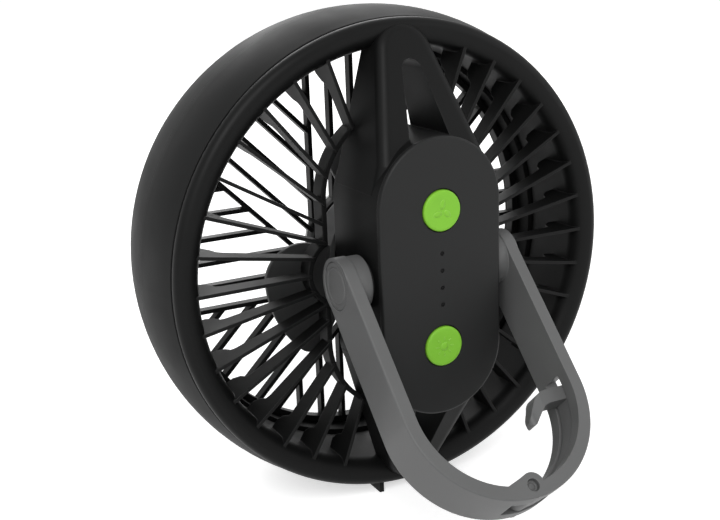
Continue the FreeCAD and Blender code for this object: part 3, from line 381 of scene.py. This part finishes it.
def dished_button(name, node):
    low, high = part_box(node)
    centre = ((low.x + high.x) / 2.0, (low.z + high.z) / 2.0)
    flange_r = (high.x - low.x) / 2.0
    top = plate_y + BUTTON_RISE
    under = plate_y - COVER_THICK - UNDER_COVER
    piece = round_blank(name, BUTTON_R, under, top, centre)
    edit(piece)
    pick_faces(piece, lambda place, normal: normal.y > 0.9)
    bpy.ops.mesh.bevel(offset=RIM_ROUND, segments=5, affect="EDGES")
    pick_faces(piece, lambda place, normal: normal.y > 0.999 and place.y > top - 0.01 * MM)
    bpy.ops.mesh.inset(thickness=RIM_FLAT, depth=0.0)
    for fall in DISH_FALLS:
        bpy.ops.mesh.inset(thickness=DISH_STEP, depth=-fall * MM)
    pick_faces(piece, lambda place, normal: normal.y < -0.9)
    bpy.ops.mesh.inset(thickness=SEAM_INSET, depth=0.0)
    push_out(FLANGE_NECK)
    grow = flange_r / (BUTTON_R - SEAM_INSET)
    middle = Vector((centre[0], under, centre[1]))
    bpy.ops.transform.resize(value=(grow, 1.0, grow), center_override=middle)
    push_out(FLANGE_THICK)
    stem = STEM_R / flange_r
    push_out(0.0)
    bpy.ops.transform.resize(value=(stem, 1.0, stem), center_override=middle)
    push_out(under - FLANGE_NECK - FLANGE_THICK - low.y)
    done(piece)
    print(name, "has", len(piece.data.polygons), "faces, radius", round(flange_r / MM, 2), "mm")
    return piece


fan_button = dished_button("fan_button_soft", "fan_button")
dress(fan_button, "fan_button", "fan_button", "fan_button")
light_button = dished_button("light_button_soft", "light_button")
dress(light_button, "light_button", "light_button", "light_button")

# %% [markdown]
# The marks on the buttons are moulded in relief and as green as the rest, so they are only seen by their
# edges. The upper one is a plain three-bladed fan and the lower one a plain lamp with rays. A mark starts
# as a small flat disc that is pulled into its shape, copied round the button's middle, and softened.

# %% Raised marks on the buttons
def relief(name, centre, radius, stretch, offset, turn):
    """One raised stroke: a thin disc stretched along its length, shifted out and turned about the middle."""
    floor_y = plate_y + BUTTON_RISE - 0.32 * MM
    piece = round_blank(name, radius, floor_y, floor_y + 0.26 * MM, centre, sides=24)
    edit(piece)
    bpy.ops.mesh.select_all(action="SELECT")
    middle = Vector((centre[0], floor_y, centre[1]))
    bpy.ops.transform.resize(value=(1.0, 1.0, stretch), center_override=middle)
    bpy.ops.transform.translate(value=(offset[0], 0.0, offset[1]))
    bpy.ops.transform.rotate(value=turn, orient_axis="Y", center_override=middle)
    pick_faces(piece, lambda place, normal: normal.y > 0.9)
    bpy.ops.mesh.bevel(offset=0.1 * MM, segments=2, affect="EDGES")
    return done(piece)


def joined(pieces, name):
    bpy.ops.object.select_all(action="DESELECT")
    for piece in pieces:
        piece.select_set(True)
    bpy.context.view_layer.objects.active = pieces[0]
    bpy.ops.object.join()
    pieces[0].name = name
    return pieces[0]


def button_middle(node):
    low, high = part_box(node)
    return ((low.x + high.x) / 2.0, (low.z + high.z) / 2.0)


upper = button_middle("fan_button")
blades = []
for index in range(3):
    turn = math.radians(120.0 * index + 15.0)
    blades.append(relief("mark_blade_" + str(index), upper, 1.15 * MM, 1.7, (0.55 * MM, 2.5 * MM), turn))
fan_mark = joined(blades, "fan_mark")
dress(fan_mark, "fan_button", None, "fan_button")

lower = button_middle("light_button")
strokes = [relief("mark_bulb", lower, 1.7 * MM, 1.0, (0.0, 0.0), 0.0)]
for index in range(8):
    turn = math.radians(45.0 * index)
    strokes.append(relief("mark_ray_" + str(index), lower, 0.32 * MM, 2.6, (0.0, 3.4 * MM), turn))
light_mark = joined(strokes, "light_mark")
dress(light_mark, "light_button", None, "light_button")
print("raised marks:", len(blades), "blades and", len(strokes) - 1, "rays")

# %% [markdown]
# The bail turns on two hidden pins, and a thin grey cap covers each one. The cap is slightly domed, with a
# shallow ring pressed into it, which is the fine arc that shows on the near end. Both caps are the same
# shape, so one is modelled and the other is its copy turned to face the other way.

# %% Caps over the bail's pivots
CAP_R = 9.8 * MM
CAP_THICK = 1.2 * MM
CAP_DOME = 0.2 * MM
GROOVE_DEEP = 0.22 * MM
PIVOT_Y = 0.0


def pivot_cap(name, side):
    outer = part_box("pivot_caps")[1].x
    face = outer - CAP_DOME
    piece = round_blank(name, CAP_R, outer - CAP_THICK, face, (PIVOT_Y, axis_z), axis="X")
    edit(piece)
    pick_faces(piece, lambda place, normal: normal.x > 0.9)
    bpy.ops.mesh.bevel(offset=0.35 * MM, segments=3, affect="EDGES")
    pick_faces(piece, lambda place, normal: normal.x > 0.999 and place.x > face - 0.01 * MM)
    bpy.ops.mesh.inset(thickness=1.8 * MM, depth=0.04 * MM)
    bpy.ops.mesh.inset(thickness=0.12 * MM, depth=-GROOVE_DEEP)
    bpy.ops.mesh.inset(thickness=0.28 * MM, depth=0.0)
    bpy.ops.mesh.inset(thickness=0.12 * MM, depth=GROOVE_DEEP)
    for rise in (0.06, 0.05, 0.03, 0.01):
        bpy.ops.mesh.inset(thickness=1.6 * MM, depth=rise * MM)
    if side < 0:
        bpy.ops.mesh.select_all(action="SELECT")
        middle = Vector((0.0, PIVOT_Y, axis_z))
        bpy.ops.transform.resize(value=(-1.0, 1.0, 1.0), center_override=middle)
    return done(piece)


caps = joined([pivot_cap("cap_right", 1), pivot_cap("cap_left", -1)], "pivot_caps_domed")
dress(caps, "bail", "pivot_caps", "pivot_caps")
print("cap faces:", len(caps.data.polygons))

# %% [markdown]
# A thin black ring lies in the gap round each button, a little under the cover's face. It is painted
# shade: a dark piece put in for the shade in the gap, which draws the dark line that sets the green apart.
# A ring is easiest from a disc: inset its outer face, take the middle away by bridging the two faces' inner
# loops, and round what is left.

# %% Dark rings painted in for the shade round the buttons
# A dark ring that stands in for the shade in a button's gap: painted shade.
def shade_ring(name, node, outer, inner):
    top = plate_y - 0.45 * MM
    piece = round_blank(name, outer, top - 0.8 * MM, top, button_middle(node))
    edit(piece)
    pick_faces(piece, lambda place, normal: abs(normal.y) > 0.9)
    bpy.ops.mesh.inset(thickness=outer - inner, depth=0.0)
    bpy.ops.mesh.bridge_edge_loops()
    pick_faces(piece, lambda place, normal: normal.y > 0.9)
    bpy.ops.mesh.bevel(offset=0.08 * MM, segments=2, affect="EDGES")
    return done(piece)


# One black ring of painted shade round each button.
for name, node in (("fan_button_seal", "fan_button"), ("light_button_seal", "light_button")):
    shade_ring_piece = shade_ring(name, node, 8.73 * MM, 8.42 * MM)
    dress(shade_ring_piece, "housing", None, "lamp_housing")
    print(name, "faces:", len(shade_ring_piece.data.polygons))

# %% [markdown]
# The hook turns on a plain pin pressed across the bail's band. Its ends lie level with the band's edges,
# where they show as a small ring round a flat button. The rod is made along Y, each end is inset four
# times to press the ring into it, and the finished mesh is then turned with the bail by the same angle.

# %% The hook's pin
BAIL_TILT = math.radians(44.27)
PIN_DROP = 98.5 * MM
PIN_R = 2.5 * MM
BAND_HALF = 9.8 * MM


def hook_pin():
    piece = round_blank("hook_pin_dimpled", PIN_R, -BAND_HALF, BAND_HALF, (0.0, 0.0), sides=48)
    edit(piece)
    pick_faces(piece, lambda place, normal: abs(normal.y) > 0.9)
    bpy.ops.mesh.bevel(offset=0.18 * MM, segments=2, affect="EDGES")
    pick_faces(piece, lambda place, normal: abs(normal.y) > 0.999 and abs(place.y) > BAND_HALF - 0.01 * MM)
    bpy.ops.mesh.inset(thickness=0.5 * MM, depth=0.0)
    bpy.ops.mesh.inset(thickness=0.15 * MM, depth=-0.3 * MM)
    bpy.ops.mesh.inset(thickness=0.25 * MM, depth=0.0)
    bpy.ops.mesh.inset(thickness=0.15 * MM, depth=0.3 * MM)
    done(piece)
    low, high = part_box("hook_pin")
    middle = (low + high) / 2.0
    place = Matrix.Translation(middle) @ Matrix.Rotation(BAIL_TILT, 4, "X")
    piece.data.transform(place)
    return piece


pin = hook_pin()
dress(pin, "bail", "hook_pin", "hook_pin")

# %% [markdown]
# At the front sits the lamp. Its milky lens spreads the light of the small lamps behind it with fine
# ridges moulded in rings. A disc is inset ring by ring, each one going up and then down a little, and the
# whole front rises towards the middle. Its back is hollowed in the same way, with one deep inset.

# %% The ridged lamp lens
def ridged_lens():
    low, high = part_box("lamp_lens")
    radius = (high.x - low.x) / 2.0
    edge_y = low.y + 1.2 * MM
    piece = round_blank("lamp_lens_ridged", radius, edge_y, high.y, (0.0, axis_z), sides=128)
    edit(piece)
    pick_faces(piece, lambda place, normal: normal.y < -0.9)
    bpy.ops.mesh.bevel(offset=0.7 * MM, segments=4, affect="EDGES")
    pick_faces(piece, lambda place, normal: normal.y < -0.999 and place.y < edge_y + 0.01 * MM)
    bpy.ops.mesh.inset(thickness=1.0 * MM, depth=0.25 * MM)
    rings = 9
    step = (radius - 2.4 * MM) / (rings * 2.0)
    for ring in range(rings):
        rise = 0.16 * MM * (1.0 - ring / rings)
        bpy.ops.mesh.inset(thickness=step, depth=0.30 * MM)
        bpy.ops.mesh.inset(thickness=step, depth=rise - 0.32 * MM)
    pick_faces(piece, lambda place, normal: normal.y > 0.9)
    bpy.ops.mesh.inset(thickness=2.6 * MM, depth=0.0)
    bpy.ops.mesh.extrude_region_move(
        TRANSFORM_OT_translate={"value": (0, -(high.y - edge_y - 0.9 * MM), 0)})
    return done(piece, 50.0)


lens = ridged_lens()
dress(lens, "housing", "lamp_lens", "lamp_lens")

# %% [markdown]
# The photograph looks down a little on the back of the fan, from its left, and is turned about two degrees.
# A camera is placed by three directions: back towards the lens, right, and up. The turn mixes right and up.

# %% The camera
eye = Vector((222.46, 382.76, 238.91)) * MM
target = Vector((18.72, -19.5, 107.24)) * MM
camera_turn = -0.0373
lens_pixels = 1133.4
frame_pixels = 720.0
sensor_mm = 36.0
back = (eye - target).normalized()
level_right = (-back).cross(Vector((0, 0, 1))).normalized()
level_up = level_right.cross(-back)
right = level_right * math.cos(camera_turn) + level_up * math.sin(camera_turn)
up = level_up * math.cos(camera_turn) - level_right * math.sin(camera_turn)
camera_data = bpy.data.cameras.new("camera")
camera_data.sensor_width = sensor_mm
camera_data.lens = lens_pixels / frame_pixels * sensor_mm
camera_data.clip_start = 0.01
camera_data.clip_end = 20.0
camera = bpy.data.objects.new("camera", camera_data)
bpy.context.scene.collection.objects.link(camera)
turn = Matrix((right, up, back)).transposed().to_4x4()
camera.matrix_world = Matrix.Translation(eye) @ turn
bpy.context.scene.camera = camera
print("lens", round(camera_data.lens, 2), "mm")

# %% [markdown]
# The fan stands on a pale floor that runs on to the horizon. Where the camera looks at it, straight or in a
# gloss or through something clear, a plain glow is added so that it reads as white; the light that falls on
# the fan still comes from the pale matte floor alone, which keeps the fan's soft shadow.

# %% What the camera sees, directly or not
def seen_ray(tree):
    """One where the camera looks, directly, in a gloss or through something clear."""
    ray = tree.nodes.new("ShaderNodeLightPath")
    total = ray.outputs["Is Camera Ray"]
    for name in ("Is Glossy Ray", "Is Transmission Ray"):
        more = tree.nodes.new("ShaderNodeMath")
        more.operation = "MAXIMUM"
        tree.links.new(total, more.inputs[0])
        tree.links.new(ray.outputs[name], more.inputs[1])
        total = more.outputs[0]
    return total


print("one test is shared by the floor and the sky")

# %% [markdown]
# The floor is one large plane. Its matte shader and the same shader with the glow are mixed by that test.

# %% The floor
def pale_floor():
    bpy.ops.object.select_all(action="DESELECT")
    bpy.ops.mesh.primitive_plane_add(size=12.0, location=(0, 0, 0))
    floor = bpy.context.object
    floor.name = "floor"
    material = bpy.data.materials.new("floor_pale")
    material.use_nodes = True
    tree = material.node_tree
    shader = tree.nodes["Principled BSDF"]
    shader.inputs["Base Color"].default_value = (0.86, 0.86, 0.86, 1.0)
    shader.inputs["Roughness"].default_value = 0.9
    glow = tree.nodes.new("ShaderNodeEmission")
    glow.inputs["Strength"].default_value = 0.60
    lit = tree.nodes.new("ShaderNodeAddShader")
    tree.links.new(shader.outputs[0], lit.inputs[0])
    tree.links.new(glow.outputs[0], lit.inputs[1])
    choose = tree.nodes.new("ShaderNodeMixShader")
    tree.links.new(seen_ray(tree), choose.inputs["Fac"])
    tree.links.new(shader.outputs[0], choose.inputs[1])
    tree.links.new(lit.outputs[0], choose.inputs[2])
    tree.links.new(choose.outputs[0], tree.nodes["Material Output"].inputs["Surface"])
    floor.data.materials.append(material)
    return floor


print("floor size:", round(pale_floor().dimensions.x, 1), "m")

# %% [markdown]
# The sky lights the fan evenly and is plain white to the camera. Three broad lamps give the forms their
# shading: one high on the camera's side, a weak one opposite, and one in front for the grille and the lamp.

# %% Sky and lamps
def studio_sky(strength):
    world = bpy.data.worlds.new("studio")
    world.use_nodes = True
    tree = world.node_tree
    light = tree.nodes["Background"]
    light.inputs["Color"].default_value = (1, 1, 1, 1)
    light.inputs["Strength"].default_value = strength
    white = tree.nodes.new("ShaderNodeBackground")
    white.inputs["Color"].default_value = (1, 1, 1, 1)
    white.inputs["Strength"].default_value = 1.0
    mix = tree.nodes.new("ShaderNodeMixShader")
    tree.links.new(seen_ray(tree), mix.inputs["Fac"])
    tree.links.new(light.outputs[0], mix.inputs[1])
    tree.links.new(white.outputs[0], mix.inputs[2])
    tree.links.new(mix.outputs[0], tree.nodes["World Output"].inputs["Surface"])
    bpy.context.scene.world = world


def soft_lamp(name, place, size, watts):
    lamp = bpy.data.lights.new(name, "AREA")
    lamp.shape = "DISK"
    lamp.size = size
    lamp.energy = watts
    holder = bpy.data.objects.new(name, lamp)
    bpy.context.scene.collection.objects.link(holder)
    aim = Vector((0, 0, axis_z)) - Vector(place)
    holder.location = place
    holder.rotation_mode = "QUATERNION"
    holder.rotation_quaternion = aim.to_track_quat("-Z", "Y")
    return holder


studio_sky(0.46)
soft_lamp("key", (0.9, 1.2, 1.3), 0.9, 21.0)
soft_lamp("fill", (-1.3, 1.0, 0.7), 1.2, 5.0)
soft_lamp("front", (-0.5, -1.5, 1.0), 1.2, 11.0)
bpy.context.scene.view_settings.view_transform = "Standard"
print("sky and three lamps are set")
